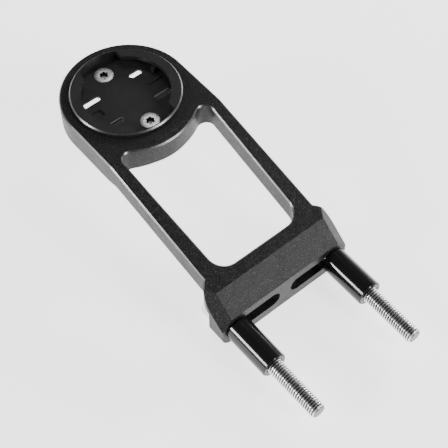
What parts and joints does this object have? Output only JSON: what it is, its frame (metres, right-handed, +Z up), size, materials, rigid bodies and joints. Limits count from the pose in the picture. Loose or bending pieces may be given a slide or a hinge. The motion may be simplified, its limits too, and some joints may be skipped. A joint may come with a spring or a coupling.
{
  "type": "out-front handlebar mount for a cycle computer",
  "caption": "Aluminium out-front mount with a quarter-turn cradle at the nose, a windowed sloping arm, and long bolts with spacers that fix it to a stem's faceplate.",
  "frame": {"origin": "on the cradle's axis, level with the bracket's top face around the cradle", "axes": "+Z up out of the cradle, +Y forward away from the stem, +X to the rider's right"},
  "size_m": [0.0462, 0.1267, 0.0284],
  "materials": {
    "anodised_aluminium": "bead-blasted, black anodised",
    "cradle_plastic": "fine moulded texture, black",
    "stainless_screw": "satin stainless",
    "stainless_bolt": "bright stainless, rolled thread",
    "anodised_spacer": "turned, glossy black anodised"
  },
  "bodies": {
    "bracket": {"bracket": "anodised_aluminium", "cradle": "cradle_plastic", "front_cradle_screw": "stainless_screw", "rear_cradle_screw": "stainless_screw"},
    "left_spacer": {"left_spacer": "anodised_spacer"},
    "left_bolt": {"left_bolt": "stainless_bolt"},
    "right_spacer": {"right_spacer": "anodised_spacer"},
    "right_bolt": {"right_bolt": "stainless_bolt"}
  },
  "joints": [
    {"name": "left_slot_slide", "type": "slide", "parent": "bracket", "child": "left_spacer", "axis": [1, 0, 0], "range_m": [-0.0007, 0.013]},
    {"name": "left_bolt_turn", "type": "hinge", "parent": "left_spacer", "child": "left_bolt", "pos_m": [-0.0178, -0.08866, -0.021], "axis": [0, 1, 0], "continuous": true},
    {"name": "right_slot_slide", "type": "slide", "parent": "bracket", "child": "right_spacer", "axis": [-1, 0, 0], "range_m": [-0.0007, 0.013]},
    {"name": "right_bolt_turn", "type": "hinge", "parent": "right_spacer", "child": "right_bolt", "pos_m": [0.0178, -0.08866, -0.021], "axis": [0, 1, 0], "continuous": true}
  ]
}
